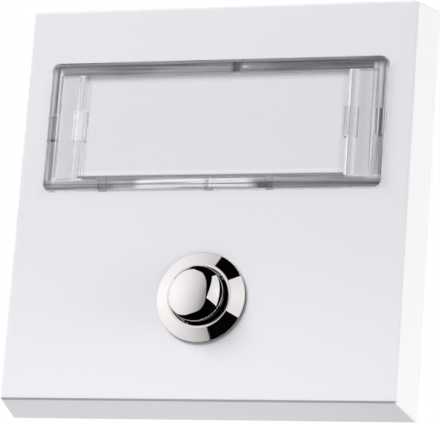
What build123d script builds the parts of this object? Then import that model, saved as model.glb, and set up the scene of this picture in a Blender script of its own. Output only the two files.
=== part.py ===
from build123d import *
import math
import os

# Wall bell push with a name window. All sizes in millimetres.
# Every piece is drawn lying on its back: the wall is the plane of x and y,
# heights are measured off the wall, and the front face looks up.
# At the end each piece is stood up against the wall.

# Cover
FACE_SIZE = 80.0
BODY_DEPTH = 11.3
FLARE = 1.5
SIDE_WALL = 1.9
FRONT_WALL = 2.2
EDGE_RADIUS = 0.5
SEAT_POST = 5.0

# Base plate
BASE_THICK = 2.0
BASE_GAP = 0.15
BEAD_RADIUS = 0.6
BEAD_LENGTH = 12.0
BEAD_PLAY = 0.15
WALL_SCREW_SPACING = 60.0
WALL_SCREW_DOWN = 4.0
WALL_SLOT_WIDTH = 4.2
WALL_SLOT_LENGTH = 7.0
ENTRY_WIDTH = 18.0
ENTRY_HEIGHT = 12.0
ENTRY_CORNER = 2.0
ENTRY_UP = 14.0

# Name window and card
WINDOW_WIDTH = 69.5
WINDOW_HEIGHT = 26.5
WINDOW_FROM_TOP = 11.4
WINDOW_CORNER = 1.5
WINDOW_PROUD = 1.5
WINDOW_ROUND = 0.6
PANEL_THICK = 1.3
POCKET_PLAY = 0.15
POCKET_DEPTH = 1.3
POCKET_FLOOR = 1.6
POCKET_WALL = 1.6
END_WALL = 1.9
LONG_WALL = 2.6
RIB_INNER = 27.3
RIB_THICK = 1.6
RIB_ROUND = 0.4
TAB_REACH_IN = 0.7
TAB_REACH_OUT = 0.3
TAB_HEIGHT = 6.0
HOOK_THICK = 1.0
HOOK_HEIGHT = 5.0
HOOK_BARB = 0.5
HOOK_NOSE = 0.8
SLOT_PLAY = 0.4
CATCH_SPACE = 0.3
CATCH_WALL = 1.0
NOTCH_WIDTH = 1.6
NOTCH_HEIGHT = 0.7
LOWER_NOTCHES = (-22.5, -0.4, 12.0)
UPPER_NOTCHES = (4.0,)
CARD_THICK = 0.4
CARD_PLAY = 0.1

# Collar, washer and nut
BUTTON_FROM_BOTTOM = 20.3
COLLAR_DIAMETER = 18.0
COLLAR_EDGE = 0.6
COLLAR_RISE = 1.3
COLLAR_BREAK = 0.15
LIP_WIDTH = 0.6
LIP_ROUND = 0.25
SLEEVE_DIAMETER = 15.0
SLEEVE_FLOOR = 1.2
SLEEVE_LEAD = 0.4
SLEEVE_PLAY = 0.1
WASHER_DIAMETER = 20.0
WASHER_THICK = 0.6
WASHER_TEETH = 12
NUT_FLATS = 19.0
NUT_THICK = 2.4
THREAD_PLAY = 0.05

# Push button
SKIRT_DIAMETER = 11.0
BORE_PLAY = 0.35
CREASE_PROUD = 4.0
CREASE_ROUND = 0.25
DOME_RADIUS = 8.5
SKIRT_WALL = 1.0
SKIRT_TAIL = 1.6
STEM_DIAMETER = 3.0
STEM_PLAY = 0.08
TRAVEL = 1.8
CLIP_DIAMETER = 6.0
CLIP_THICK = 0.5
CLIP_PLAY = 0.04
CLIP_END_SPACE = 0.3
GROOVE_DIAMETER = 2.2
CAP_HEAD = 0.5
CAP_PIN_DIAMETER = 1.6
CAP_PIN_LENGTH = 1.2
SPRING_WIRE = 0.5
SPRING_MEAN_RADIUS = 3.3
SPRING_TURNS = 4.5
SPRING_PLAY = 0.03

# Contacts and terminals
TERMINAL_OUT = 14.0
STRIP_WIDTH = 6.0
STRIP_TAIL = 3.4
LEAF_THICK = 0.3
LEAF_GAP = 0.2
FIXED_THICK = 0.4
CHANNEL_FLOOR = 1.0
CHANNEL_PLAY = 0.8
STEP_RUN = 3.0
RIVET_DIAMETER = 3.0
RIVET_PROUD = 0.3
PILLAR_DIAMETER = 8.0
BUSH_DIAMETER = 4.8
BUSH_FLOOR = 0.6
SCREW_DIAMETER = 3.0
SCREW_PLAY = 0.06
SCREW_END_GAP = 0.4
HEAD_DIAMETER = 5.5
HEAD_HEIGHT = 1.8
HEAD_SLOT = 0.8
CLAMP_SIZE = 7.0
CLAMP_THICK = 0.8

# Heights off the wall that several pieces share
FACE = BODY_DEPTH
POCKET_TOP = FACE - POCKET_DEPTH
POCKET_BACK = POCKET_TOP - POCKET_FLOOR
POCKET_X = WINDOW_WIDTH + 2 * POCKET_PLAY
POCKET_Y = WINDOW_HEIGHT + 2 * POCKET_PLAY
POCKET_CORNER = WINDOW_CORNER + POCKET_PLAY
WELL_X = WINDOW_WIDTH - 2 * END_WALL
WELL_Y = WINDOW_HEIGHT - 2 * LONG_WALL
SLOT_THICK = HOOK_THICK + POCKET_PLAY + SLOT_PLAY
HOOK_CATCH = POCKET_BACK - CARD_PLAY
HOOK_END = HOOK_CATCH - HOOK_NOSE
PANEL_BACK = FACE + WINDOW_PROUD - PANEL_THICK
CARD_FRONT = POCKET_TOP + CARD_THICK
FIXED_FRONT = CHANNEL_FLOOR + FIXED_THICK
RIVET_FRONT = FIXED_FRONT + RIVET_PROUD
CAP_TIP = RIVET_FRONT + LEAF_THICK + TRAVEL
LEAF_FRONT = CAP_TIP - LEAF_GAP
LEAF_BACK = LEAF_FRONT - LEAF_THICK
STEM_END = CAP_TIP + CAP_HEAD
CLIP_FRONT = STEM_END + CLIP_END_SPACE + CLIP_THICK
SLEEVE_RADIUS = SLEEVE_DIAMETER / 2
SLEEVE_END = CLIP_FRONT + CLIP_PLAY
SLEEVE_SEAT = SLEEVE_END + SLEEVE_FLOOR
BUTTON_RADIUS = SKIRT_DIAMETER / 2
BORE_RADIUS = BUTTON_RADIUS + BORE_PLAY
DOME_CENTRE = FACE + CREASE_PROUD - math.sqrt(DOME_RADIUS**2 - BUTTON_RADIUS**2)
DOME_TOP = DOME_CENTRE + DOME_RADIUS
SPRING_SEAT = FACE + CREASE_PROUD - SKIRT_WALL

BUTTON_DOWN = FACE_SIZE / 2 - BUTTON_FROM_BOTTOM
WINDOW_UP = FACE_SIZE / 2 - WINDOW_FROM_TOP - WINDOW_HEIGHT / 2
BUTTON_PLACE = Pos(0, -BUTTON_DOWN, 0)
WINDOW_PLACE = Pos(0, WINDOW_UP, 0)
LEFT_PLACE = Pos(-TERMINAL_OUT, -BUTTON_DOWN, 0)
RIGHT_PLACE = Pos(TERMINAL_OUT, -BUTTON_DOWN, 0)
LEFT_PILLAR_TOP = LEAF_FRONT - FIXED_THICK
RIGHT_PILLAR_TOP = LEAF_BACK


def side_at(height):
    """Outer side of the flared body at a height off the wall."""
    return FACE_SIZE + 2 * FLARE * (1 - height / BODY_DEPTH)


def flared_block(inset, low, high):
    """Block between two heights whose sides run parallel to the cover's, set in by a distance."""
    bottom = side_at(low) - 2 * inset
    top = side_at(high) - 2 * inset
    return loft([Pos(0, 0, low) * Rectangle(bottom, bottom), Pos(0, 0, high) * Rectangle(top, top)])


def upright(sketch, low, high):
    """Sketch drawn up from one height to another."""
    return extrude(Pos(0, 0, low) * sketch, high - low)


def turned(points):
    """Ring or disc turned about the button's axis from a profile of (radius, height) points."""
    profile = make_face(Plane.XZ * Polyline(*points, close=True))
    return revolve(profile, Axis.Z)


def bead_places():
    """The middle of each side of the base plate, halfway up its edge."""
    height = BASE_THICK / 2
    reach = side_at(height) / 2 - SIDE_WALL - BASE_GAP
    return [Rot(0, 0, turn) * Pos(reach, 0, height) * Rot(90, 0, 0) for turn in (0, 90, 180, 270)]


def make_cover():
    shell = flared_block(0, 0, FACE)
    back_edges = shell.faces().sort_by(Axis.Z)[0].edges()
    shell = fillet([e for e in shell.edges() if e not in back_edges], EDGE_RADIUS)
    shell -= flared_block(SIDE_WALL, 0, FACE - FRONT_WALL)
    block = Rectangle(POCKET_X + 2 * POCKET_WALL, POCKET_Y + 2 * POCKET_WALL)
    shell += WINDOW_PLACE * upright(block, POCKET_BACK, FACE - FRONT_WALL)
    posts = Sketch() + [
        Pos(sx * side_at(FACE) / 2, sy * side_at(FACE) / 2) * Rectangle(4 * SEAT_POST, 4 * SEAT_POST)
        for sx in (-1, 1)
        for sy in (-1, 1)
    ]
    corner_posts = upright(posts, BASE_THICK, FACE - FRONT_WALL)
    corner_posts &= flared_block(SIDE_WALL / 2, BASE_THICK, FACE - FRONT_WALL)
    corner_hollow = flared_block(SIDE_WALL + SEAT_POST, 0, FACE - FRONT_WALL)
    shell += corner_posts - corner_hollow
    pocket = RectangleRounded(POCKET_X, POCKET_Y, POCKET_CORNER)
    shell -= WINDOW_PLACE * upright(pocket, POCKET_TOP, FACE)
    slot_height = HOOK_HEIGHT + 2 * SLOT_PLAY
    slot = Rectangle(SLOT_THICK, slot_height)
    catch_floor = HOOK_END - CATCH_SPACE
    catch_width = SLOT_THICK + HOOK_BARB + CATCH_SPACE
    catch = Rectangle(catch_width, slot_height)
    catch_box = Rectangle(catch_width + 2 * CATCH_WALL, slot_height + 2 * CATCH_WALL)
    for side in (-1, 1):
        slot_place = WINDOW_PLACE * Pos(side * (POCKET_X - SLOT_THICK) / 2, 0)
        catch_place = WINDOW_PLACE * Pos(side * (POCKET_X / 2 - SLOT_THICK + catch_width / 2), 0)
        shell += catch_place * upright(catch_box, catch_floor - CATCH_WALL, POCKET_BACK)
        shell -= catch_place * upright(catch, catch_floor, POCKET_BACK)
        shell -= slot_place * upright(slot, POCKET_BACK, POCKET_TOP)
    hole = Circle(SLEEVE_RADIUS + SLEEVE_PLAY)
    shell -= BUTTON_PLACE * upright(hole, FACE - FRONT_WALL, FACE)
    for place in bead_places():
        shell -= place * Cylinder(BEAD_RADIUS + BEAD_PLAY, BEAD_LENGTH + 2 * BEAD_PLAY)
    return shell


def make_base_plate():
    plate = flared_block(SIDE_WALL + BASE_GAP, 0, BASE_THICK)
    for place in bead_places():
        plate += place * Cylinder(BEAD_RADIUS, BEAD_LENGTH)
    pillar = Circle(PILLAR_DIAMETER / 2)
    bush_hole = Circle(BUSH_DIAMETER / 2)
    for place, top in ((LEFT_PLACE, LEFT_PILLAR_TOP), (RIGHT_PLACE, RIGHT_PILLAR_TOP)):
        plate += place * upright(pillar, 0, top)
        plate -= place * upright(bush_hole, BUSH_FLOOR, top)
    left_end = TERMINAL_OUT - PILLAR_DIAMETER / 2 - STEP_RUN / 2
    channel_length = left_end + STRIP_TAIL + CHANNEL_PLAY
    channel = Pos((STRIP_TAIL + CHANNEL_PLAY - left_end) / 2, -BUTTON_DOWN) * Rectangle(
        channel_length, STRIP_WIDTH + 2 * CHANNEL_PLAY
    )
    plate -= upright(channel, CHANNEL_FLOOR, BASE_THICK)
    for side in (-1, 1):
        slot = SlotOverall(WALL_SLOT_LENGTH, WALL_SLOT_WIDTH)
        plate -= Pos(side * WALL_SCREW_SPACING / 2, -WALL_SCREW_DOWN) * upright(slot, 0, BASE_THICK)
    entry = Pos(0, ENTRY_UP) * RectangleRounded(ENTRY_WIDTH, ENTRY_HEIGHT, ENTRY_CORNER)
    plate -= upright(entry, 0, BASE_THICK)
    return plate


def make_name_window():
    outline = RectangleRounded(WINDOW_WIDTH, WINDOW_HEIGHT, WINDOW_CORNER)
    window = upright(outline, POCKET_TOP, FACE + WINDOW_PROUD)
    window = fillet(window.faces().sort_by(Axis.Z)[-1].edges(), WINDOW_ROUND)
    window -= upright(Rectangle(WELL_X, WELL_Y), POCKET_TOP, PANEL_BACK)
    for rail, places in ((-1, LOWER_NOTCHES), (1, UPPER_NOTCHES)):
        for x in places:
            notch = Pos(x, rail * (WELL_Y + LONG_WALL) / 2) * Rectangle(NOTCH_WIDTH, LONG_WALL)
            window -= upright(notch, POCKET_TOP, POCKET_TOP + NOTCH_HEIGHT)
    hook = make_hook()
    for side in (-1, 1):
        rib_place = Pos(side * (RIB_INNER + RIB_THICK / 2), 0)
        rib = upright(rib_place * Rectangle(RIB_THICK, WELL_Y), POCKET_TOP + CARD_PLAY, PANEL_BACK)
        window += fillet(rib.edges().filter_by(Axis.Y).group_by(Axis.Z)[0], RIB_ROUND)
        tab_thick = TAB_REACH_IN + RIB_THICK + TAB_REACH_OUT
        tab = Pos(side * (RIB_INNER - TAB_REACH_IN + tab_thick / 2), 0) * Rectangle(tab_thick, TAB_HEIGHT)
        window += upright(tab, CARD_FRONT + CARD_PLAY, PANEL_BACK)
        window += hook if side > 0 else mirror(hook, Plane.YZ)
    return WINDOW_PLACE * window


def make_hook():
    """Snap hook at the right end of the window: a leg through the pocket's floor with a barb behind it."""
    outer = WINDOW_WIDTH / 2
    inner = outer - HOOK_THICK
    barb = outer + POCKET_PLAY + HOOK_BARB
    points = [
        (inner, FACE),
        (outer, FACE),
        (outer, HOOK_CATCH),
        (barb, HOOK_CATCH),
        (outer - HOOK_THICK / 2, HOOK_END),
        (inner, HOOK_END),
    ]
    profile = make_face(Plane.XZ * Polyline(*points, close=True))
    return extrude(profile, HOOK_HEIGHT / 2, both=True)


def make_name_card():
    card = Rectangle(2 * (RIB_INNER - CARD_PLAY), WELL_Y - 2 * CARD_PLAY)
    return WINDOW_PLACE * upright(card, POCKET_TOP, CARD_FRONT)


def make_bezel():
    outer = COLLAR_DIAMETER / 2
    lip = BORE_RADIUS + LIP_WIDTH
    brow = FACE + COLLAR_EDGE
    crest = brow + COLLAR_RISE
    stem_hole = STEM_DIAMETER / 2 + STEM_PLAY
    collar = turned(
        [
            (BORE_RADIUS, SLEEVE_SEAT),
            (stem_hole, SLEEVE_SEAT),
            (stem_hole, SLEEVE_END),
            (SLEEVE_RADIUS - SLEEVE_LEAD, SLEEVE_END),
            (SLEEVE_RADIUS, SLEEVE_END + SLEEVE_LEAD),
            (SLEEVE_RADIUS, FACE),
            (outer, FACE),
            (outer, brow - COLLAR_BREAK),
            (outer - COLLAR_BREAK, brow),
            (lip, crest),
            (BORE_RADIUS + COLLAR_BREAK, crest),
            (BORE_RADIUS, crest - COLLAR_BREAK),
        ]
    )
    crest_edges = collar.edges().filter_by(GeomType.CIRCLE).group_by(Axis.Z)[-1]
    return BUTTON_PLACE * fillet(crest_edges.sort_by(SortBy.RADIUS)[-1], LIP_ROUND)


def make_bezel_washer():
    back = FACE - FRONT_WALL - WASHER_THICK
    hole = SLEEVE_RADIUS + SLEEVE_PLAY
    ring = Circle(WASHER_DIAMETER / 2) - Circle(hole)
    tooth_gap = 0.25 * math.pi * WASHER_DIAMETER / WASHER_TEETH
    notch_depth = (WASHER_DIAMETER / 2 - hole) * 0.5
    for place in PolarLocations(WASHER_DIAMETER / 2, WASHER_TEETH):
        ring -= place * Rectangle(2 * notch_depth, tooth_gap)
    return BUTTON_PLACE * upright(ring, back, back + WASHER_THICK)


def make_bezel_nut():
    front = FACE - FRONT_WALL - WASHER_THICK
    corner = NUT_FLATS / math.sqrt(3)
    flats = upright(RegularPolygon(corner, 6, rotation=30), front - NUT_THICK, front)
    bevel = corner - NUT_FLATS / 2
    barrel = chamfer(
        upright(Circle(corner), front - NUT_THICK, front).edges().filter_by(GeomType.CIRCLE), bevel * 0.577, bevel
    )
    nut = flats & barrel
    nut -= upright(Circle(SLEEVE_RADIUS + THREAD_PLAY), front - NUT_THICK, front)
    return BUTTON_PLACE * nut


def make_plunger():
    crease = FACE + CREASE_PROUD
    tail = FACE - SKIRT_TAIL
    stem = STEM_DIAMETER / 2
    side = Polyline(
        (0, DOME_TOP - DOME_RADIUS / 2),
        (0, STEM_END),
        (stem, STEM_END),
        (stem, SPRING_SEAT),
        (BUTTON_RADIUS - SKIRT_WALL, SPRING_SEAT),
        (BUTTON_RADIUS - SKIRT_WALL, tail),
        (BUTTON_RADIUS, tail),
        (BUTTON_RADIUS, crease),
    )
    lean = math.asin(BUTTON_RADIUS / DOME_RADIUS) / 2
    half_way = (DOME_RADIUS * math.sin(lean), DOME_CENTRE + DOME_RADIUS * math.cos(lean))
    crown = ThreePointArc((BUTTON_RADIUS, crease), half_way, (0, DOME_TOP))
    axis = Line((0, DOME_TOP), (0, DOME_TOP - DOME_RADIUS / 2))
    plunger = revolve(make_face(Plane.XZ * (Curve() + [side, crown, axis])), Axis.Z)
    rim = [e for e in plunger.edges().filter_by(GeomType.CIRCLE) if abs(e.radius - BUTTON_RADIUS) < 0.001]
    plunger = fillet(ShapeList(rim).sort_by(Axis.Z)[-1], CREASE_ROUND)
    groove = Circle(stem + 0.5) - Circle(GROOVE_DIAMETER / 2)
    plunger -= upright(groove, CLIP_FRONT - CLIP_THICK - CLIP_PLAY, CLIP_FRONT + CLIP_PLAY)
    plunger -= upright(Circle(CAP_PIN_DIAMETER / 2), STEM_END, STEM_END + CAP_PIN_LENGTH)
    return BUTTON_PLACE * plunger


def make_return_spring():
    half_wire = SPRING_WIRE / 2
    low = SLEEVE_SEAT + half_wire + SPRING_PLAY
    high = SPRING_SEAT - half_wire - SPRING_PLAY
    path = Pos(0, 0, low) * Helix((high - low) / SPRING_TURNS, high - low, SPRING_MEAN_RADIUS)
    start = Plane(path @ 0, z_dir=path % 0)
    six_sided_wire = start * RegularPolygon(half_wire, 6)
    return BUTTON_PLACE * sweep(six_sided_wire, path, is_frenet=True)


def make_plunger_clip():
    groove = GROOVE_DIAMETER / 2 + CLIP_PLAY
    ring = Circle(CLIP_DIAMETER / 2) - Circle(groove)
    ring -= Pos(CLIP_DIAMETER / 2, 0) * Rectangle(CLIP_DIAMETER, 1.6 * groove)
    for turn in (60, 180, 300):
        ring -= Rot(0, 0, turn) * Pos(CLIP_DIAMETER * 0.33, 0) * Circle(CLIP_DIAMETER * 0.09)
    return BUTTON_PLACE * upright(ring, CLIP_FRONT - CLIP_THICK, CLIP_FRONT)


def make_stem_cap():
    head = upright(Circle(STEM_DIAMETER / 2), CAP_TIP, STEM_END)
    head = chamfer(head.edges().sort_by(Axis.Z)[0], CAP_HEAD * 0.5)
    pin = upright(Circle(CAP_PIN_DIAMETER / 2), STEM_END, STEM_END + CAP_PIN_LENGTH)
    return BUTTON_PLACE * (head + pin)


def make_moving_contact():
    length = TERMINAL_OUT + STRIP_TAIL + CLAMP_SIZE / 2
    outline = Pos(length / 2 - STRIP_TAIL, 0) * RectangleRounded(length, STRIP_WIDTH, STRIP_WIDTH * 0.3)
    outline -= Pos(TERMINAL_OUT, 0) * Circle(SCREW_DIAMETER / 2 + SCREW_PLAY)
    return BUTTON_PLACE * upright(outline, LEAF_BACK, LEAF_FRONT)


def make_fixed_contact():
    left = -TERMINAL_OUT - CLAMP_SIZE / 2
    step_start = -TERMINAL_OUT + PILLAR_DIAMETER / 2 + FIXED_THICK
    step_end = step_start + STEP_RUN
    upper = LEAF_FRONT
    points = [
        (left, upper),
        (step_start, upper),
        (step_end, FIXED_FRONT),
        (STRIP_TAIL, FIXED_FRONT),
        (STRIP_TAIL, CHANNEL_FLOOR),
        (step_end - FIXED_THICK * 0.5, CHANNEL_FLOOR),
        (step_start - FIXED_THICK * 0.5, upper - FIXED_THICK),
        (left, upper - FIXED_THICK),
    ]
    profile = make_face(Plane.XZ * Polyline(*points, close=True))
    strip = extrude(profile, STRIP_WIDTH / 2, both=True)
    strip -= Pos(-TERMINAL_OUT, 0) * upright(Circle(SCREW_DIAMETER / 2 + SCREW_PLAY), 0, FACE)
    strip -= upright(Circle(RIVET_DIAMETER / 4), 0, FACE)
    return BUTTON_PLACE * strip


def make_contact_rivet():
    head = upright(Circle(RIVET_DIAMETER / 2), FIXED_FRONT, RIVET_FRONT)
    head = chamfer(head.edges().sort_by(Axis.Z)[-1], RIVET_PROUD * 0.6)
    return BUTTON_PLACE * (head + upright(Circle(RIVET_DIAMETER / 4), CHANNEL_FLOOR, FIXED_FRONT))


def at_both_terminals(piece):
    """The same piece at the left and the right terminal, as one group."""
    return Compound(children=[LEFT_PLACE * piece, RIGHT_PLACE * piece])


def make_terminal_screw():
    seat = LEAF_FRONT + CLAMP_THICK
    head = upright(Circle(HEAD_DIAMETER / 2), seat, seat + HEAD_HEIGHT)
    head = chamfer(head.edges().sort_by(Axis.Z)[-1], HEAD_HEIGHT * 0.25, HEAD_HEIGHT * 0.5)
    head -= upright(Rectangle(HEAD_DIAMETER, HEAD_SLOT), seat + HEAD_HEIGHT * 0.45, seat + HEAD_HEIGHT)
    return head + upright(Circle(SCREW_DIAMETER / 2), BUSH_FLOOR + SCREW_END_GAP, seat)


def make_clamp_washer():
    plate = upright(Rectangle(CLAMP_SIZE, CLAMP_SIZE), LEAF_FRONT, LEAF_FRONT + CLAMP_THICK)
    plate = chamfer(plate.edges().filter_by(Axis.Z), CLAMP_SIZE * 0.12)
    return plate - upright(Circle(SCREW_DIAMETER / 2 + SCREW_PLAY), LEAF_FRONT, LEAF_FRONT + CLAMP_THICK)


def make_terminal_bushes():
    ring = Circle(BUSH_DIAMETER / 2) - Circle(SCREW_DIAMETER / 2 + SCREW_PLAY)
    left = LEFT_PLACE * upright(ring, BUSH_FLOOR, LEFT_PILLAR_TOP)
    right = RIGHT_PLACE * upright(ring, BUSH_FLOOR, RIGHT_PILLAR_TOP)
    return Compound(children=[left, right])


pieces = {
    "cover": make_cover(),
    "base_plate": make_base_plate(),
    "name_window": make_name_window(),
    "name_card": make_name_card(),
    "bezel": make_bezel(),
    "bezel_washer": make_bezel_washer(),
    "bezel_nut": make_bezel_nut(),
    "plunger": make_plunger(),
    "return_spring": make_return_spring(),
    "plunger_clip": make_plunger_clip(),
    "stem_cap": make_stem_cap(),
    "moving_contact": make_moving_contact(),
    "fixed_contact": make_fixed_contact(),
    "contact_rivet": make_contact_rivet(),
    "terminal_screws": at_both_terminals(make_terminal_screw()),
    "clamp_washers": at_both_terminals(make_clamp_washer()),
    "terminal_bushes": make_terminal_bushes(),
}

os.makedirs("parts", exist_ok=True)
for name, piece in pieces.items():
    export_step(Plane.XZ * piece, f"parts/{name}.step")
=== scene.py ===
import math

import bmesh
import bpy
from mathutils import Matrix, Vector


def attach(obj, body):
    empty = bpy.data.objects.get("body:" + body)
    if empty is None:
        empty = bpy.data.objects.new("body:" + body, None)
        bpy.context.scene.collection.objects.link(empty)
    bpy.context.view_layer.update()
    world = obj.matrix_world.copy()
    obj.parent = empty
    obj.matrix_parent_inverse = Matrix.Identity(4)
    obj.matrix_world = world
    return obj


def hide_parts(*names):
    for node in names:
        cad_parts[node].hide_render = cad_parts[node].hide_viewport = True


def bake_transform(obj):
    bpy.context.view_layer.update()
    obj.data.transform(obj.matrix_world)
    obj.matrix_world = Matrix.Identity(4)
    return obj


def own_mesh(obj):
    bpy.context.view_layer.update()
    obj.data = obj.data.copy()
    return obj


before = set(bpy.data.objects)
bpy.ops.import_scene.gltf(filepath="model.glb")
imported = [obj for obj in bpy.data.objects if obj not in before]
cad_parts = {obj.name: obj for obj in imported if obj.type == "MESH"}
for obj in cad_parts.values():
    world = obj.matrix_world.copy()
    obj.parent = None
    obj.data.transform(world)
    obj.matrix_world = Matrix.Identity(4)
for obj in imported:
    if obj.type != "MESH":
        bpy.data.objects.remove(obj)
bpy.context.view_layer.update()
scene = bpy.context.scene
scene.view_settings.view_transform = "Standard"


def principled(name, colour, roughness, **inputs):
    """Plain surface: colour, roughness and any other values by socket name."""
    material = bpy.data.materials.new(name)
    material.use_nodes = True
    shader = material.node_tree.nodes["Principled BSDF"]
    shader.inputs["Base Color"].default_value = (*colour, 1.0)
    shader.inputs["Roughness"].default_value = roughness
    for socket, value in inputs.items():
        shader.inputs[socket.replace("_", " ")].default_value = value
    return material


CHROME = (0.94, 0.908, 0.90)
WHITE = (0.815, 0.806, 0.845)
white_plastic = principled("white_plastic", WHITE, 0.38)
base_plastic = principled("base_plastic", (0.60, 0.61, 0.61), 0.5)
clear_plastic = principled(
    "clear_plastic", (0.985, 0.995, 0.99), 0.02, IOR=1.57, Transmission_Weight=1.0, Emission_Strength=1.0
)
card_stock = principled("card_stock", (0.78, 0.77, 0.81), 0.6)
chrome = principled("chrome", CHROME, 0.03, Metallic=1.0)
steel = principled("steel", (0.55, 0.55, 0.54), 0.3, Metallic=1.0)
brass = principled("brass", (0.72, 0.55, 0.28), 0.28, Metallic=1.0)
bronze = principled("bronze", (0.70, 0.47, 0.26), 0.3, Metallic=1.0)
silver = principled("silver", (0.85, 0.84, 0.82), 0.2, Metallic=1.0)
nylon = principled("nylon", (0.72, 0.70, 0.63), 0.5)


def let_light_through(material):
    """Lamps and bounced light reach what lies behind the clear moulding."""
    nodes, links = material.node_tree.nodes, material.node_tree.links
    shader = nodes["Principled BSDF"]
    path = nodes.new("ShaderNodeLightPath")
    either = nodes.new("ShaderNodeMath")
    either.operation = "MAXIMUM"
    clear = nodes.new("ShaderNodeBsdfTransparent")
    mix = nodes.new("ShaderNodeMixShader")
    links.new(path.outputs["Is Shadow Ray"], either.inputs[0])
    links.new(path.outputs["Is Diffuse Ray"], either.inputs[1])
    links.new(either.outputs[0], mix.inputs["Fac"])
    links.new(shader.outputs[0], mix.inputs[1])
    links.new(clear.outputs[0], mix.inputs[2])
    links.new(mix.outputs[0], nodes["Material Output"].inputs["Surface"])


let_light_through(clear_plastic)


class ShadeGroup:
    """Group of nodes with colour outputs, and short ways to add to it."""

    def __init__(self, name, *outputs):
        self.tree = bpy.data.node_groups.new(name, "ShaderNodeTree")
        self.nodes = self.tree.nodes
        for output in outputs:
            self.tree.interface.new_socket(output, in_out="OUTPUT", socket_type="NodeSocketColor")

    def put(self, socket, value):
        if isinstance(value, bpy.types.NodeSocket):
            self.tree.links.new(value, socket)
        else:
            socket.default_value = value

    def maths(self, operation, a, b=0.0):
        node = self.nodes.new("ShaderNodeMath")
        node.operation = operation
        self.put(node.inputs[0], a)
        self.put(node.inputs[1], b)
        return node.outputs[0]

    def either(self, choose, a, b, blend="MIX"):
        """a where choose is 0, b where it is 1."""
        node = self.nodes.new("ShaderNodeMix")
        node.data_type = "RGBA"
        node.blend_type = blend
        self.put(node.inputs[0], choose)
        self.put(node.inputs[6], a)
        self.put(node.inputs[7], b)
        return node.outputs[2]

    def multiplied(self, a, b, where=1.0):
        return self.either(where, a, b, "MULTIPLY")

    def bands(self, value, low, high, stops):
        """Greys along a distance from low to high: stops are (distance, grey)."""
        span = self.nodes.new("ShaderNodeMapRange")
        self.put(span.inputs["Value"], value)
        self.put(span.inputs["From Min"], low)
        self.put(span.inputs["From Max"], high)
        ramp = self.nodes.new("ShaderNodeValToRGB")
        elements = ramp.color_ramp.elements
        while len(elements) < len(stops):
            elements.new(1.0)
        for element, (distance, grey) in zip(elements, stops):
            element.position = (distance - low) / (high - low)
            element.color = (grey, grey, grey, 1.0)
        self.put(ramp.inputs[0], span.outputs[0])
        return ramp.outputs[0]

    def place(self):
        """Millimetres to the right, towards the wall and up."""
        coordinates = self.nodes.new("ShaderNodeTexCoord")
        split = self.nodes.new("ShaderNodeSeparateXYZ")
        self.put(split.inputs[0], coordinates.outputs["Object"])
        return [self.maths("MULTIPLY", split.outputs[axis], 1000.0) for axis in "XYZ"]

    def finished(self, *values):
        out = self.nodes.new("NodeGroupOutput")
        for socket, value in zip(out.inputs, values):
            self.put(socket, value)
        return self.tree


def paint(material, tree, sockets):
    """The group's outputs, in order, feed the named sockets of the material's surface."""
    group = material.node_tree.nodes.new("ShaderNodeGroup")
    group.node_tree = tree
    shader = material.node_tree.nodes["Principled BSDF"]
    for output, socket in zip(group.outputs, sockets):
        material.node_tree.links.new(output, shader.inputs[socket])


# Painted shade and reflections of the clear window: the greys its thick rails, ribs, tabs and hooks show, by
# distance in from its outer edge.
# Sizes here and below are in millimetres.
WINDOW_MIDDLE = 15.35
WINDOW_HALF_WIDTH = 34.75
WINDOW_HALF_HEIGHT = 13.25
WINDOW_FRONT = 12.8
STREAK_DEPTH = 0.65
PANEL_BACK = 11.5
TOP_RAIL_WIDTH = 2.8
BOTTOM_RAIL_WIDTH = 2.3
END_RAIL_WIDTH = 2.6
RIB_INNER = 27.3
RIB_OUTER = 28.9
HOOK_HALF = 2.6
HOOK_DROP = 0.2
TAB_HALF = 3.0
RAIL_REACH = 10.0
HALF_SPAN = 36.0
CLEAR = (1.0, 1.0, 1.0, 1.0)

# The greys below are painted shade and reflections of the thick clear moulding, multiplied into its colour.
TOP_RAIL = [
    (0.7, 1.0), (0.95, 0.36), (1.2, 0.28), (1.6, 0.23), (2.0, 0.18), (2.3, 0.19), (2.6, 0.07), (2.75, 0.12),
]
TOP_LABEL_SHADE = [(2.79, 1.0), (2.8, 0.25), (3.0, 0.42), (3.4, 0.28), (3.7, 0.38), (4.2, 0.81), (4.8, 1.0)]
TOP_BELT = [(0.6, 0.0), (1.0, 1.0)]
TOP_ALONG = [
    (-30, 1.0), (-25, 0.9), (-20, 0.5), (-14, 0.6), (-11, 1.0), (2.8, 1.0), (3.5, 0.15), (4.7, 0.15),
    (5.2, 1.0), (9, 0.85), (13, 0.36), (24, 0.28), (34, 0.36),
]
BOTTOM_RAIL = [
    (0.0, 0.7), (0.2, 0.45), (0.4, 0.22), (0.6, 0.15), (0.8, 0.2), (1.2, 0.24), (1.4, 0.2), (1.6, 0.35),
    (1.85, 0.6), (2.2, 0.7),
]
BOTTOM_LABEL_SHADE = [(2.3, 0.3), (2.45, 0.1), (2.65, 0.1), (2.8, 0.7), (2.9, 1.0)]
BOTTOM_BELT = [(0.9, 1.0), (1.3, 0.5), (1.8, 0.0)]
BOTTOM_ALONG = [
    (-32, 0.85), (-27, 0.7), (-23.5, 0.6), (-22.8, 0.3), (-20, 0.35), (-19, 0.8), (9, 0.8), (10.4, 0.08),
    (12.8, 0.1), (13.6, 0.32), (30, 0.2),
]
GLINT_RAIL = [
    (0.0, 0.6), (0.15, 0.7), (0.35, 1.0), (0.6, 0.75), (0.75, 0.3), (0.9, 0.3), (1.05, 1.0),
]
GLINT_ALONG = [
    (-15.5, 0.0), (-13.8, 1.0), (-0.6, 1.0), (-0.4, 0.1), (0.1, 0.1), (0.3, 1.0), (7.5, 0.9), (9.5, 0.0),
]
LEFT_RAIL = [(1.0, 1.0), (1.2, 0.53), (1.4, 0.2), (1.6, 0.125), (1.8, 0.17), (2.0, 0.54), (2.2, 1.0)]
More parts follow.
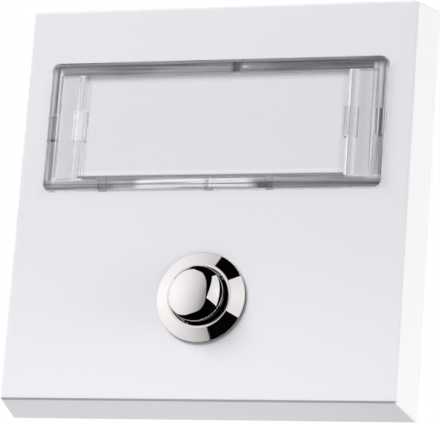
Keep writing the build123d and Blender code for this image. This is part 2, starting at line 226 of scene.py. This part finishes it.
LEFT_HOOK = [(0.9, 1.0), (1.1, 0.6), (1.3, 0.25), (1.6, 0.25), (1.8, 1.0), (2.1, 0.6), (2.3, 1.0)]
RIGHT_RAIL = [
    (0.0, 0.48), (0.2, 0.16), (0.4, 0.09), (0.7, 0.25), (1.0, 0.4), (1.2, 0.42), (1.4, 0.36), (1.7, 0.56),
    (2.0, 0.66), (2.6, 0.68), (2.61, 1.0),
]
RIGHT_HOOK = [
    (0.0, 0.64), (0.4, 0.2), (0.8, 0.2), (1.0, 0.55), (1.2, 0.62), (1.35, 0.1), (1.6, 0.12), (1.8, 0.8),
    (2.6, 0.7), (2.61, 1.0),
]
LEFT_ZONE = [
    (2.8, 1.0), (3.0, 0.68), (5.9, 0.65), (6.3, 0.85), (6.6, 0.65), (6.9, 0.85), (7.3, 0.62), (8.1, 0.65),
    (9.2, 1.0),
]
LEFT_TAB = [
    (2.8, 1.0), (3.0, 0.68), (5.4, 0.68), (5.6, 1.0), (7.6, 1.0), (7.8, 0.6), (8.2, 0.75), (9.2, 1.0),
]
RIGHT_ZONE = [
    (2.59, 1.0), (2.6, 0.68), (3.0, 0.68), (4.2, 0.58), (5.3, 0.6), (5.6, 0.9), (5.9, 0.8), (6.2, 0.56),
    (6.8, 0.56), (7.0, 1.0), (7.3, 1.0), (7.5, 0.8), (8.0, 0.8), (9.0, 1.0),
]
RIGHT_TAB = [
    (2.59, 1.0), (2.6, 0.7), (4.2, 0.58), (5.4, 0.6), (5.7, 0.75), (6.1, 0.56), (7.0, 0.5), (7.3, 0.7),
    (7.6, 0.5), (8.1, 0.5), (8.3, 0.95), (9.0, 1.0),
]
# Emission levels below: painted highlights on the rib walls, hooks, left edge, a spot on the top rail and the
# glints of the bottom rail.
RIB_GLOW_WIDTH = 0.12
RIGHT_RIB_INNER_GLOW = 0.28
RIGHT_RIB_OUTER_GLOW = 0.1
LEFT_RIB_OUTER_GLOW = 0.15
LEFT_RIB_INNER_GLOW = 0.12
HOOK_GLOW = 0.14
LEFT_EDGE_GLOW = [
    (0.0, 0.11), (0.35, 0.12), (0.6, 0.05), (0.75, 0.07), (0.9, 0.18), (1.05, 0.13), (1.2, 0.0), (1.9, 0.0),
    (2.15, 0.08), (2.6, 0.06), (2.9, 0.05), (3.1, 0.0),
]
GLINT_GLOW = [(1.1, 0.0), (1.4, 0.12), (1.9, 0.12), (2.2, 0.0)]
LABEL_FOOT_GLOW = [(2.9, 0.0), (3.0, 0.05), (3.5, 0.05), (3.8, 0.0)]
TOP_HIGHLIGHT = [(5.3, 0.0), (5.7, 0.3), (6.3, 0.25), (6.9, 0.0)]
TOP_HIGHLIGHT_BELT = [(1.4, 0.0), (1.6, 1.0), (1.9, 1.0), (2.1, 0.0)]
CORNER_BLEND = [(1.1, 0.0), (2.5, 1.0)]
RAIL_COLOUR = (0.92, 0.97, 1.0, 1.0)
ZONE_COLOUR = (0.965, 1.0, 0.985, 1.0)

# Waviness and fine lines of the painted streaks of shade and reflection: how fast they change lengthwise and
# crosswise
WAVE_LENGTHWISE = 0.09
WAVE_CROSSWISE = 2.2
WAVE_DETAIL = 3.0
WAVE_HEIGHT = 0.2
LONG_WAVE_SEED = 3.0
END_WAVE_SEED = 8.0
LINE_LENGTHWISE = 0.05
LINE_CROSSWISE = 2.6
LINE_DETAIL = 2.0
LINE_CONTRAST = 4.5
LINE_DARKEST = 0.15
LONG_LINE_SEED = 5.0
END_LINE_SEED = 9.0


def window_painted_shade():
    """Painted shade and reflections as grey streaks in the thick clear moulding, and painted highlights on its
    bright edges.
    """
    group = ShadeGroup("window_painted_shade", "Tint", "Painted_Highlights")
    maths, either, bands, multiplied = group.maths, group.either, group.bands, group.multiplied
    x, y, height = group.place()
    z = maths("SUBTRACT", height, WINDOW_MIDDLE)
    from_middle = maths("ABSOLUTE", x)
    from_end = maths("SUBTRACT", WINDOW_HALF_WIDTH, from_middle)
    from_long = maths("SUBTRACT", WINDOW_HALF_HEIGHT, maths("ABSOLUTE", z))
    from_left = maths("ADD", x, WINDOW_HALF_WIDTH)
    at_bottom = maths("LESS_THAN", z, 0.0)
    at_top = maths("GREATER_THAN", z, 0.0)
    at_right = maths("GREATER_THAN", x, 0.0)
    at_hook = maths("LESS_THAN", maths("ABSOLUTE", maths("ADD", z, HOOK_DROP)), HOOK_HALF)
    at_tab = maths("LESS_THAN", maths("ABSOLUTE", z), TAB_HALF)

    def stretched_noise(lengthwise, crosswise, seed, detail):
        stretch = group.nodes.new("ShaderNodeCombineXYZ")
        for socket, value in zip(stretch.inputs, (lengthwise, crosswise, seed)):
            group.put(socket, value)
        noise = group.nodes.new("ShaderNodeTexNoise")
        noise.inputs["Scale"].default_value = 1.0
        noise.inputs["Detail"].default_value = detail
        group.put(noise.inputs["Vector"], stretch.outputs[0])
        return noise.outputs["Fac"]

    def flowing(way, along, seed):
        """Distance with a slight waviness, for the painted streaks of shade and reflection."""
        lengthwise = maths("MULTIPLY", along, WAVE_LENGTHWISE)
        crosswise = maths("MULTIPLY", way, WAVE_CROSSWISE)
        noise = stretched_noise(lengthwise, crosswise, seed, WAVE_DETAIL)
        return maths("ADD", way, maths("MULTIPLY", maths("SUBTRACT", noise, 0.5), WAVE_HEIGHT))

    def fine_lines(way, along, seed):
        """Thin lighter and darker lines lengthwise."""
        lengthwise = maths("MULTIPLY", along, LINE_LENGTHWISE)
        crosswise = maths("MULTIPLY", way, LINE_CROSSWISE)
        noise = stretched_noise(lengthwise, crosswise, seed, LINE_DETAIL)
        lines = maths("ADD", maths("MULTIPLY", noise, LINE_CONTRAST), 1.0 - LINE_CONTRAST / 2)
        return maths("MAXIMUM", lines, LINE_DARKEST)

    long_way = flowing(maths("MINIMUM", from_long, from_left), x, LONG_WAVE_SEED)
    end_way = flowing(from_end, z, END_WAVE_SEED)

    def across_long(stops):
        return bands(long_way, 0.0, RAIL_REACH, stops)

    def across_label(stops):
        return bands(from_long, 0.0, RAIL_REACH, stops)

    def across_end(stops):
        return bands(end_way, 0.0, RAIL_REACH, stops)

    def across_zone(stops):
        return bands(from_end, 0.0, RAIL_REACH, stops)

    def along(stops):
        return bands(x, -HALF_SPAN, HALF_SPAN, stops)

    top_shade = either(across_long(TOP_BELT), CLEAR, along(TOP_ALONG))
    top = maths("MULTIPLY", across_long(TOP_RAIL), top_shade)
    bottom_shade = either(across_long(BOTTOM_BELT), CLEAR, along(BOTTOM_ALONG))
    bottom = maths("MULTIPLY", across_long(BOTTOM_RAIL), bottom_shade)
    bottom = either(along(GLINT_ALONG), bottom, across_long(GLINT_RAIL))
    left = either(at_hook, across_end(LEFT_RAIL), across_end(LEFT_HOOK))
    right = either(at_hook, across_end(RIGHT_RAIL), across_end(RIGHT_HOOK))
    long_rail = maths("MULTIPLY", either(at_bottom, top, bottom), fine_lines(from_long, x, LONG_LINE_SEED))
    end_rail = maths("MULTIPLY", either(at_right, left, right), fine_lines(from_end, z, END_LINE_SEED))
    end_rail = multiplied(end_rail, RAIL_COLOUR)
    bottom_narrower = maths("MULTIPLY", at_bottom, BOTTOM_RAIL_WIDTH - TOP_RAIL_WIDTH)
    in_well = maths("GREATER_THAN", from_long, maths("ADD", TOP_RAIL_WIDTH, bottom_narrower))
    past_end = maths("GREATER_THAN", from_end, END_RAIL_WIDTH)
    left_zone = either(at_tab, across_zone(LEFT_ZONE), across_zone(LEFT_TAB))
    right_zone = either(at_tab, across_zone(RIGHT_ZONE), across_zone(RIGHT_TAB))
    zone = either(at_right, left_zone, right_zone)
    label_shade = either(at_bottom, across_label(TOP_LABEL_SHADE), across_label(BOTTOM_LABEL_SHADE))
    over_label = maths("LESS_THAN", from_middle, RIB_INNER)
    well = either(past_end, end_rail, multiplied(zone, either(over_label, ZONE_COLOUR, label_shade)))
    corner = across_label(CORNER_BLEND)
    round_corner = maths("MULTIPLY", corner, maths("SUBTRACT", 1.0, past_end))
    long_rail = either(round_corner, multiplied(long_rail, RAIL_COLOUR), end_rail)
    front = maths("LESS_THAN", y, STREAK_DEPTH - WINDOW_FRONT)
    painted_shade_tint = either(front, CLEAR, either(in_well, long_rail, well))

    def rib_wall(wall):
        from_wall = maths("ABSOLUTE", maths("SUBTRACT", from_middle, wall))
        near = maths("LESS_THAN", from_wall, RIB_GLOW_WIDTH)
        return maths("MULTIPLY", near, maths("GREATER_THAN", y, -PANEL_BACK))

    inner, outer = rib_wall(RIB_INNER), rib_wall(RIB_OUTER)

    def rib_glow(inner_glow, outer_glow):
        return maths("ADD", maths("MULTIPLY", inner, inner_glow), maths("MULTIPLY", outer, outer_glow))

    on_end_rail = maths("LESS_THAN", from_end, END_RAIL_WIDTH)
    hook = maths("MULTIPLY", maths("MULTIPLY", front, at_hook), on_end_rail)
    left_edge = maths("MULTIPLY", maths("MULTIPLY", front, corner), across_end(LEFT_EDGE_GLOW))
    left_glow = rib_glow(LEFT_RIB_INNER_GLOW, LEFT_RIB_OUTER_GLOW)
    left_glow = maths("ADD", maths("ADD", left_glow, maths("MULTIPLY", hook, HOOK_GLOW)), left_edge)
    top_highlight = maths("MULTIPLY", along(TOP_HIGHLIGHT), across_long(TOP_HIGHLIGHT_BELT))
    top_highlight = maths("MULTIPLY", maths("MULTIPLY", top_highlight, front), at_top)
    right_glow = maths("ADD", rib_glow(RIGHT_RIB_INNER_GLOW, RIGHT_RIB_OUTER_GLOW), top_highlight)
    label_foot = maths("MULTIPLY", across_label(LABEL_FOOT_GLOW), maths("MULTIPLY", over_label, at_bottom))
    glint = maths("MULTIPLY", maths("MULTIPLY", along(GLINT_ALONG), across_long(GLINT_GLOW)), at_bottom)
    bottom_glow = maths("MULTIPLY", maths("ADD", label_foot, glint), front)
    return group.finished(painted_shade_tint, maths("ADD", either(at_right, left_glow, right_glow), bottom_glow))


# The clear window's colour carries painted shade and reflections; its emission carries painted highlights.
paint(clear_plastic, window_painted_shade(), ["Base Color", "Emission Color"])

FACE = 11.3
FACE_FOOT = -40.0
FACE_SKIN = 0.1
# Painted shade: a line along the lower front rounding, and a soft shadow round the window.
EDGE_SHADE = 0.56
EDGE_SHADE_UP = 0.27
EDGE_SHADE_BACK = 0.58
SHADE_RIGHT = 0.4
SHADE_DOWN = 1.0
SHADE_HALF_WIDTH = 35.4
SHADE_HALF_HEIGHT = 12.25
SHADE_INWARD = -2.0
SHADE_OUTWARD = 3.0
WINDOW_SHADE = [
    (-1.3, 0.87), (-0.3, 0.88), (0.1, 0.933), (0.5, 0.962), (1.0, 0.98), (1.5, 0.99), (2.0, 1.0),
]


def moulding_shades():
    """White moulding with a painted shade line along the rounding of the lower front edge,
    and a painted soft shadow round the window that stands on its face."""
    group = ShadeGroup("moulding_shades", "Colour")
    maths = group.maths
    x, y, z = group.place()
    low = maths("LESS_THAN", z, FACE_FOOT + EDGE_SHADE_UP)
    forward = maths("LESS_THAN", y, EDGE_SHADE_BACK - FACE)
    shaded = tuple(part * EDGE_SHADE for part in WHITE)
    plain = group.either(maths("MULTIPLY", low, forward), (*WHITE, 1.0), (*shaded, 1.0))
    across = maths("SUBTRACT", x, SHADE_RIGHT)
    up = maths("SUBTRACT", z, WINDOW_MIDDLE - SHADE_DOWN)
    beside = maths("SUBTRACT", maths("ABSOLUTE", across), SHADE_HALF_WIDTH)
    beyond = maths("SUBTRACT", maths("ABSOLUTE", up), SHADE_HALF_HEIGHT)
    shade = group.bands(maths("MAXIMUM", beside, beyond), SHADE_INWARD, SHADE_OUTWARD, WINDOW_SHADE)
    on_face = maths("LESS_THAN", y, FACE_SKIN - FACE)
    return group.finished(group.multiplied(plain, shade, on_face))


# The white moulding's colour carries the painted shade line and the painted shadow round the window.
paint(white_plastic, moulding_shades(), ["Base Color"])

BUTTON_HEIGHT = -19.7
SKIRT = 5.5
BORE = 5.85
CREASE = FACE + 4.0
COLLAR = 9.0
# Painted shade: the chrome's colour in the gap round the button and along the collar's seat.
GAP_SHADE_DARK = (0.04, 0.04, 0.04, 1.0)
DARK_SKIN = 0.1
DARK_EDGE = 0.05
SKIRT_DARK_TOP = CREASE - 0.14
BORE_DARK_TOP = FACE + 1.7
RIM_DARK_TOP = FACE + 0.45


def gap_shade():
    """Chrome painted dark: painted shade in the gap round the button and along the collar's seat on the face, and
    a painted dark reflection on the button's side.
    """
    group = ShadeGroup("gap_shade", "Colour")
    maths = group.maths
    across, back, z = group.place()
    up = maths("SUBTRACT", z, BUTTON_HEIGHT)
    radius = maths("SQRT", maths("ADD", maths("POWER", across, 2.0), maths("POWER", up, 2.0)))
    height = maths("MULTIPLY", back, -1.0)

    def within(inner, outer, top):
        ring = maths("MULTIPLY", maths("GREATER_THAN", radius, inner), maths("LESS_THAN", radius, outer))
        return maths("MULTIPLY", ring, maths("LESS_THAN", height, top))

    skirt = within(SKIRT - DARK_SKIN, SKIRT + DARK_SKIN, SKIRT_DARK_TOP)
    bore = within(BORE - DARK_SKIN, BORE + DARK_EDGE, BORE_DARK_TOP)
    rim = within(COLLAR - DARK_EDGE, COLLAR + DARK_SKIN, RIM_DARK_TOP)
    dark = maths("MAXIMUM", maths("MAXIMUM", skirt, bore), rim)
    return group.finished(group.either(dark, (*CHROME, 1.0), GAP_SHADE_DARK))


paint(chrome, gap_shade(), ["Base Color"])

FINISH = {
    "cover": white_plastic,
    "base_plate": base_plastic,
    "name_window": clear_plastic,
    "name_card": card_stock,
    "bezel": chrome,
    "bezel_washer": steel,
    "bezel_nut": brass,
    "plunger": chrome,
    "return_spring": steel,
    "plunger_clip": steel,
    "stem_cap": nylon,
    "moving_contact": bronze,
    "fixed_contact": bronze,
    "contact_rivet": silver,
    "terminal_screws": steel,
    "clamp_washers": steel,
    "terminal_bushes": brass,
}
for node, finish in FINISH.items():
    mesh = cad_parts[node].data
    mesh.materials.clear()
    mesh.materials.append(finish)

# Turned, wound and bent pieces, drawn again finer. Heights are measured off the wall.
BUTTON_AXIS = Vector((0.0, 0.0, BUTTON_HEIGHT / 1000))
TURNED_STEPS = 160
SMOOTH_BELOW = 32.0
MERGE_DISTANCE = 1e-7


def rounded(points, steps=6):
    """Closed profile of (radius, height, corner rounding) with its corners rounded."""
    out = []
    for i, (r, h, rounding) in enumerate(points):
        corner = Vector((r, h))
        if not rounding:
            out.append(corner)
            continue
        before = (Vector(points[i - 1][:2]) - corner).normalized()
        after = (Vector(points[(i + 1) % len(points)][:2]) - corner).normalized()
        half = before.angle(after) / 2
        middle = corner + (before + after).normalized() * rounding / math.sin(half)
        first = (corner + before * rounding / math.tan(half) - middle).normalized()
        last = (corner + after * rounding / math.tan(half) - middle).normalized()
        for k in range(steps + 1):
            out.append(middle + first.slerp(last, k / steps) * rounding)
    return out


def new_piece(name, shape, material, smooth_below=SMOOTH_BELOW):
    """Mesh piece from a finished shape: outward normals, smooth but for its sharp edges."""
    bmesh.ops.recalc_face_normals(shape, faces=shape.faces)
    for face in shape.faces:
        face.smooth = True
    for edge in shape.edges:
        edge.smooth = edge.is_manifold and edge.calc_face_angle() < math.radians(smooth_below)
    mesh = bpy.data.meshes.new(name)
    shape.to_mesh(mesh)
    shape.free()
    mesh.materials.append(material)
    piece = bpy.data.objects.new(name, mesh)
    scene.collection.objects.link(piece)
    return piece


def turned(name, profile, closed, material):
    """Piece turned about the button's axis."""
    shape = bmesh.new()
    verts = [shape.verts.new(BUTTON_AXIS + Vector((r, -h, 0.0)) / 1000) for r, h in profile]
    edges = [shape.edges.new(pair) for pair in zip(verts, verts[1:])]
    if closed:
        edges.append(shape.edges.new((verts[-1], verts[0])))
    bmesh.ops.spin(
        shape, geom=verts + edges, cent=BUTTON_AXIS, axis=(0, 1, 0), angle=2 * math.pi, steps=TURNED_STEPS,
        use_merge=True,
    )
    bmesh.ops.remove_doubles(shape, verts=shape.verts, dist=MERGE_DISTANCE)
    return new_piece(name, shape, material)


SUPPORT = 0.04


def with_support(points):
    """Profile with an extra point close to each end of its longer straight runs, so that they shade flat."""
    out = []
    for here, there in zip(points, points[1:] + points[:1]):
        out.append(here)
        if (there - here).length > 3 * SUPPORT:
            step = (there - here).normalized() * SUPPORT
            out += [here + step, there - step]
    return out


CREASE_ROUND = 0.25
CREASE_STEPS = 8
DOME = 8.5
DOME_STEPS = 40
DOME_MIDDLE = CREASE - math.sqrt(DOME**2 - SKIRT**2)
SKIRT_END = FACE - 1.6
SKIRT_SUPPORT = FACE - 1.56
SKIRT_INSIDE = SKIRT - 1.0
SEAT = CREASE - 1.0
STEM = 1.5
STEM_END = 4.3
GROOVE = 1.1
GROOVE_FRONT = 5.14
GROOVE_BACK = 4.56
PIN_HOLE = 0.8
PIN_HOLE_END = STEM_END + 1.2
round_radius = SKIRT - CREASE_ROUND
round_middle = Vector((round_radius, DOME_MIDDLE + math.sqrt((DOME - CREASE_ROUND) ** 2 - round_radius**2)))
lean = math.atan2(round_middle.x, round_middle.y - DOME_MIDDLE)
crown = [
    Vector((DOME * math.sin(angle), DOME_MIDDLE + DOME * math.cos(angle)))
    for angle in [lean * k / DOME_STEPS for k in range(DOME_STEPS + 1)]
]
crease = [
    round_middle + CREASE_ROUND * Vector((math.sin(angle), math.cos(angle)))
    for angle in [lean + (math.pi / 2 - lean) * k / CREASE_STEPS for k in range(1, CREASE_STEPS + 1)]
]
underside = [
    (SKIRT, SKIRT_SUPPORT),
    (SKIRT, SKIRT_END),
    (SKIRT_INSIDE, SKIRT_END),
    (SKIRT_INSIDE, SEAT),
    (STEM, SEAT),
    (STEM, GROOVE_FRONT),
    (GROOVE, GROOVE_FRONT),
    (GROOVE, GROOVE_BACK),
    (STEM, GROOVE_BACK),
    (STEM, STEM_END),
    (PIN_HOLE, STEM_END),
    (PIN_HOLE, PIN_HOLE_END),
    (0.0, PIN_HOLE_END),
]
push_button = turned("push_button", crown + crease + [Vector(p) for p in underside], False, chrome)
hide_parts("plunger")
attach(push_button, "button")

SLEEVE = 7.5
SLEEVE_LEAD = 7.1
SLEEVE_END = 5.14
LEAD_HEIGHT = 5.54
SLEEVE_FLOOR = 6.34
STEM_HOLE = 1.58
COLLAR_EDGE = FACE + 0.6
COLLAR_TOP = FACE + 1.9
LIP = BORE + 0.6
EDGE_ROUND = 0.16
LIP_ROUND = 0.25
BORE_ROUND = 0.15
collar_profile = rounded(
    [
        (BORE, SLEEVE_FLOOR, 0.0),
        (STEM_HOLE, SLEEVE_FLOOR, 0.0),
        (STEM_HOLE, SLEEVE_END, 0.0),
        (SLEEVE_LEAD, SLEEVE_END, 0.0),
        (SLEEVE, LEAD_HEIGHT, 0.0),
        (SLEEVE, FACE, 0.0),
        (COLLAR, FACE, 0.0),
        (COLLAR, COLLAR_EDGE, EDGE_ROUND),
        (LIP, COLLAR_TOP, LIP_ROUND),
        (BORE, COLLAR_TOP, BORE_ROUND),
    ]
)
collar = turned("collar", with_support(collar_profile), True, chrome)
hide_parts("bezel")
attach(collar, "housing")

SPRING_FOOT = SLEEVE_FLOOR
SPRING_PLAY = 0.03
SPRING_RADIUS = 3.3
WIRE = 0.5
WIRE_SIDES = 12
COILS = 4.5
COIL_STEPS = 48
SPRING_SMOOTH_BELOW = 60.0
shape = bmesh.new()
pitch = (SEAT - SPRING_FOOT - WIRE - 2 * SPRING_PLAY) / COILS
start = BUTTON_AXIS + Vector((SPRING_RADIUS, -(SPRING_FOOT + WIRE / 2 + SPRING_PLAY), 0.0)) / 1000
wire_end = bmesh.ops.create_circle(
    shape, segments=WIRE_SIDES, radius=WIRE / 2000, matrix=Matrix.Translation(start)
)["verts"]
wire_edges = list({edge for vert in wire_end for edge in vert.link_edges})
bmesh.ops.spin(
    shape, geom=wire_end + wire_edges, cent=BUTTON_AXIS, axis=(0, 1, 0),
    dvec=(0, -pitch / (1000 * COIL_STEPS), 0), angle=2 * math.pi * COILS, steps=round(COIL_STEPS * COILS),
)
bmesh.ops.holes_fill(shape, edges=shape.edges)
spring = new_piece("coil_spring", shape, steel, SPRING_SMOOTH_BELOW)
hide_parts("return_spring")
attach(spring, "housing")
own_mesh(spring)

LEAF_BACK = 3.3
LEAF_THICK = 0.3
LEAF_LENGTH = 20.9
LEAF_WIDTH = 6.0
LEAF_TAIL = 3.4
LEAF_CORNER = 1.8
LEAF_CORNER_STEPS = 5
LEAF_CUTS = 15
LEAF_CUT_STEP = 0.8
CLAMP_EDGE = 10.5
UPRIGHT_EDGE = 1e-4
shape = bmesh.new()
middle = BUTTON_AXIS + Vector((LEAF_LENGTH / 2 - LEAF_TAIL, -(LEAF_BACK + LEAF_THICK / 2), 0.0)) / 1000
leaf_size = Matrix.Diagonal((LEAF_LENGTH, LEAF_THICK, LEAF_WIDTH, 1.0))
bmesh.ops.create_cube(shape, size=0.001, matrix=Matrix.Translation(middle) @ leaf_size)
corners = [edge for edge in shape.edges if abs(edge.verts[0].co.y - edge.verts[1].co.y) > UPRIGHT_EDGE]
bmesh.ops.bevel(
    shape, geom=corners, offset=LEAF_CORNER / 1000, offset_type="OFFSET", segments=LEAF_CORNER_STEPS, profile=0.5,
    affect="EDGES", material=-1,
)
for k in range(1, LEAF_CUTS + 1):
    cut = BUTTON_AXIS + Vector((CLAMP_EDGE - k * LEAF_CUT_STEP, 0.0, 0.0)) / 1000
    bmesh.ops.bisect_plane(
        shape, geom=shape.verts[:] + shape.edges[:] + shape.faces[:], plane_co=cut, plane_no=(1, 0, 0)
    )
leaf = new_piece("contact_leaf", shape, bronze)
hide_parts("moving_contact")
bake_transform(leaf)

# Studio, in metres: a white room seen by the camera, in bright metal and through the clear plastic
ROOM_LIGHT = 0.12
ROOM_SEEN = 1.0
world = bpy.data.worlds.new("studio")
scene.world = world
world.use_nodes = True
links = world.node_tree.links
nodes = world.node_tree.nodes
background = nodes["Background"]
path = nodes.new("ShaderNodeLightPath")
seen = path.outputs["Is Camera Ray"]
for ray in ("Is Glossy Ray", "Is Transmission Ray"):
    either = nodes.new("ShaderNodeMath")
    either.operation = "MAXIMUM"
    links.new(seen, either.inputs[0])
    links.new(path.outputs[ray], either.inputs[1])
    seen = either.outputs[0]
level = nodes.new("ShaderNodeMapRange")
level.inputs["To Min"].default_value = ROOM_LIGHT
level.inputs["To Max"].default_value = ROOM_SEEN
links.new(seen, level.inputs["Value"])
links.new(level.outputs["Result"], background.inputs["Strength"])
background.inputs["Color"].default_value = (1.0, 1.0, 1.0, 1.0)


def direction(azimuth, elevation):
    """Way out from the object: azimuth 0 is straight in front of the face, positive to the right."""
    a, e = math.radians(azimuth), math.radians(elevation)
    return Vector((math.sin(a) * math.cos(e), -math.cos(a) * math.cos(e), math.sin(e)))


def glow(name, brightest, stops):
    """Card that glows less and less away from its brightest spot: stops are (angle from the spot, level)."""
    material = bpy.data.materials.new(name)
    material.use_nodes = True
    nodes, links = material.node_tree.nodes, material.node_tree.links
    nodes.remove(nodes["Principled BSDF"])
    emission = nodes.new("ShaderNodeEmission")
    place = nodes.new("ShaderNodeTexCoord")
    outward = nodes.new("ShaderNodeVectorMath")
    outward.operation = "NORMALIZE"
    nearness = nodes.new("ShaderNodeVectorMath")
    nearness.operation = "DOT_PRODUCT"
    nearness.inputs[1].default_value = direction(*brightest)
    ramp = nodes.new("ShaderNodeValToRGB")
    elements = ramp.color_ramp.elements
    while len(elements) < len(stops):
        elements.new(1.0)
    for element, (angle, level) in zip(elements, reversed(stops)):
        element.position = max(0.0, math.cos(math.radians(angle)))
        element.color = (level, level, level, 1.0)
    links.new(place.outputs["Object"], outward.inputs[0])
    links.new(outward.outputs[0], nearness.inputs[0])
    links.new(nearness.outputs["Value"], ramp.inputs[0])
    links.new(ramp.outputs[0], emission.inputs["Color"])
    links.new(emission.outputs[0], nodes["Material Output"].inputs["Surface"])
    return material


CARD_DISTANCE = 1.5
TENT_DISTANCE = 2.0
CARD_SEGMENTS = 32


def studio_card(name, place, distance, material):
    """Curved card round the object, seen only in its bright metal and clear plastic.
    place gives the azimuth and elevation of a point across and up the card, each from -1 to 1."""
    mesh = bpy.data.meshes.new(name)
    shape = bmesh.new()
    bmesh.ops.create_grid(shape, x_segments=CARD_SEGMENTS, y_segments=CARD_SEGMENTS, size=1.0)
    for vert in shape.verts:
        vert.co = direction(*place(vert.co.x, vert.co.y)) * distance
    shape.to_mesh(mesh)
    shape.free()
    mesh.materials.append(material)
    card = bpy.data.objects.new(name, mesh)
    card.visible_camera = False
    card.visible_diffuse = False
    card.visible_shadow = False
    scene.collection.objects.link(card)


def soft_cornered(middle, half, top, left_foot, right_foot):
    """Card outline between an oval and a square, each lower corner with a squareness of its own."""

    def place(across, up):
        reach = max(abs(across), abs(up))
        turn = math.atan2(up, across)
        foot = left_foot if across < 0 else right_foot
        power = foot if up < 0 else top
        c, s = math.cos(turn), math.sin(turn)
        out = reach / (abs(c) ** power + abs(s) ** power) ** (1 / power)
        return middle[0] + half[0] * out * c, middle[1] + half[1] * out * s

    return place


def four_cornered(left_low, right_low, right_high, left_high):
    """Card outline with straight sides."""

    def place(across, up):
        u, v = (across + 1) / 2, (up + 1) / 2
        low = Vector(left_low).lerp(Vector(right_low), u)
        return low.lerp(Vector(left_high).lerp(Vector(right_high), u), v)

    return place


SCRIM_OUTLINE = soft_cornered((-40, 12.5), (58, 55), 3.1, 1.9, 3.35)
SCRIM_BRIGHTEST = (-75, 13)
SCRIM_GLOW = [
    (0, 1.05), (15, 0.99), (36, 0.9), (50, 0.8), (60, 0.71), (70, 0.61), (80, 0.48), (88, 0.33),
]
RIGHT_CARD_OUTLINE = four_cornered((20.5, -5.5), (50, -23), (58, 60), (37, 56))
RIGHT_CARD_BRIGHTEST = (54, 13)
RIGHT_CARD_GLOW = [(0, 1.0), (15, 0.9), (25, 0.82), (50, 0.8)]
TENT_OUTLINE = four_cornered((-180, -90), (125, -90), (125, 90), (-180, 90))
black_cloth = principled("black_cloth", (0.004, 0.004, 0.004), 1.0, Specular_IOR_Level=0.0)
studio_card("scrim", SCRIM_OUTLINE, CARD_DISTANCE, glow("scrim_glow", SCRIM_BRIGHTEST, SCRIM_GLOW))
studio_card(
    "right_card", RIGHT_CARD_OUTLINE, CARD_DISTANCE, glow("right_card_glow", RIGHT_CARD_BRIGHTEST, RIGHT_CARD_GLOW)
)
studio_card("tent", TENT_OUTLINE, TENT_DISTANCE, black_cloth)


def lamp(name, place, size, power, colour=(1.0, 1.0, 1.0), aim=(0.0, 0.0, 0.0)):
    """Soft lamp: round when its size is one number, a strip when its size is a pair."""
    data = bpy.data.lights.new(name, "AREA")
    if isinstance(size, tuple):
        data.shape = "RECTANGLE"
        data.size, data.size_y = size
    else:
        data.shape = "DISK"
        data.size = size
    data.energy = power
    data.color = colour
    thing = bpy.data.objects.new(name, data)
    thing.location = place
    thing.rotation_mode = "QUATERNION"
    thing.rotation_quaternion = (Vector(place) - Vector(aim)).to_track_quat("Z", "Y")
    thing.visible_camera = False
    thing.visible_glossy = False
    thing.visible_transmission = False
    scene.collection.objects.link(thing)


LAMP_DISTANCE = 1.3
LAMP_SIZE = 0.9
WARM = (1.0, 1.0, 0.955)
lamp("key", direction(-35, 38) * LAMP_DISTANCE, LAMP_SIZE, 19.0)
lamp("right_fill", direction(87, 0) * LAMP_DISTANCE, LAMP_SIZE, 13.8, WARM)
lamp("wall_bounce", (0.0, 0.12, 0.0), 0.6, 0.85)
lamp("foot_strip", (0.0, -0.046, -0.042), (0.14, 0.008), 0.0056, aim=(0.0, -0.011, -0.04))
lamp("floor_strip", (-0.036, -0.006, -0.075), (0.18, 0.01), 0.0147, aim=(-0.036, -0.006, -0.04))

FLOOR_HALF = 4.0
FLOOR_HEIGHT = -1.2
FLOOR_PALENESS = 0.84
floor_stock = principled(
    "floor_stock", (0.86, 0.86, 0.86), 0.9, Specular_IOR_Level=0.0, Emission_Color=(1.0, 1.0, 1.0, 1.0)
)
floor_nodes, floor_links = floor_stock.node_tree.nodes, floor_stock.node_tree.links
floor_path = floor_nodes.new("ShaderNodeLightPath")
floor_paleness = floor_nodes.new("ShaderNodeMath")
floor_paleness.operation = "MULTIPLY"
floor_paleness.inputs[1].default_value = FLOOR_PALENESS
floor_links.new(floor_path.outputs["Is Camera Ray"], floor_paleness.inputs[0])
floor_links.new(floor_paleness.outputs[0], floor_nodes["Principled BSDF"].inputs["Emission Strength"])
shape = bmesh.new()
floor_place = Matrix.Translation((0.0, 0.0, FLOOR_HEIGHT))
bmesh.ops.create_grid(shape, x_segments=1, y_segments=1, size=FLOOR_HALF, matrix=floor_place)
floor_mesh = bpy.data.meshes.new("floor")
shape.to_mesh(floor_mesh)
shape.free()
floor_mesh.materials.append(floor_stock)
floor = bpy.data.objects.new("floor", floor_mesh)
floor.visible_glossy = False
floor.visible_transmission = False
scene.collection.objects.link(floor)

# Camera at the photograph's viewing angle
camera_data = bpy.data.cameras.new("camera")
camera_data.sensor_fit = "HORIZONTAL"
camera_data.sensor_width = 36.0
camera_data.lens = 246.7
camera_data.clip_end = 50.0
camera = bpy.data.objects.new("camera", camera_data)
camera.location = (0.18140, -0.55139, -0.15286)
camera.rotation_euler = (1.829964, -0.071812, 0.300913)
scene.collection.objects.link(camera)
scene.camera = camera
